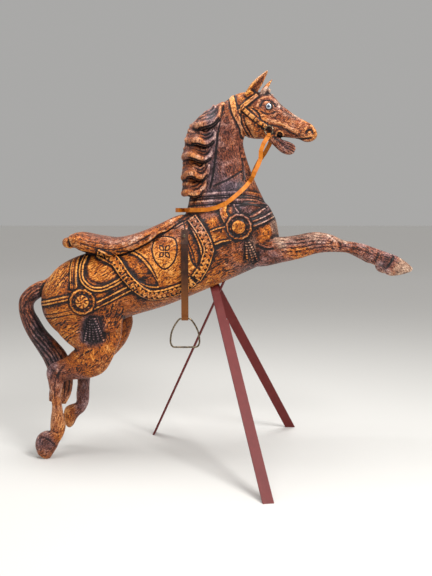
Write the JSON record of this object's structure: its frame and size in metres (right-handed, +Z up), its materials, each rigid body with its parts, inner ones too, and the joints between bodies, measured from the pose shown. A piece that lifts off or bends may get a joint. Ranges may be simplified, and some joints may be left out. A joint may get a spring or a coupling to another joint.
{
  "type": "carousel horse",
  "caption": "Carved wooden fairground galloper in a leap, with carved saddle and trappings, leather rein and stirrup, on a three-legged flat-bar stand",
  "frame": {"origin": "middle of the whole, stand included, on the floor", "axes": "+Z up, the horse's nose points to +X, its right side faces -Y"},
  "size_m": [1.6136, 0.8922, 1.5649],
  "materials": {
    "carved_wood": "carved wood with a golden brown varnish and a dark glaze rubbed into the hollows",
    "eye_glass": "polished glass eye with a white iris and a dark slit pupil",
    "old_steel": "dull old steel, rubbed smooth",
    "tan_leather": "worn golden tan harness leather",
    "brown_leather": "worn dark brown harness leather",
    "oxide_paint": "dull oxide red paint on flat steel bar"
  },
  "bodies": {
    "root": {"horse": "carved_wood", "eye_right": "eye_glass", "eye_left": "eye_glass", "rein_ring_right": "old_steel", "rein_ring_left": "old_steel", "rein": "tan_leather", "stirrup_strap": "brown_leather", "strap_nail": "old_steel", "stirrup": "old_steel", "stand_leg_near": "oxide_paint", "stand_leg_far": "oxide_paint", "stand_leg_rear": "oxide_paint"}
  },
  "joints": []
}
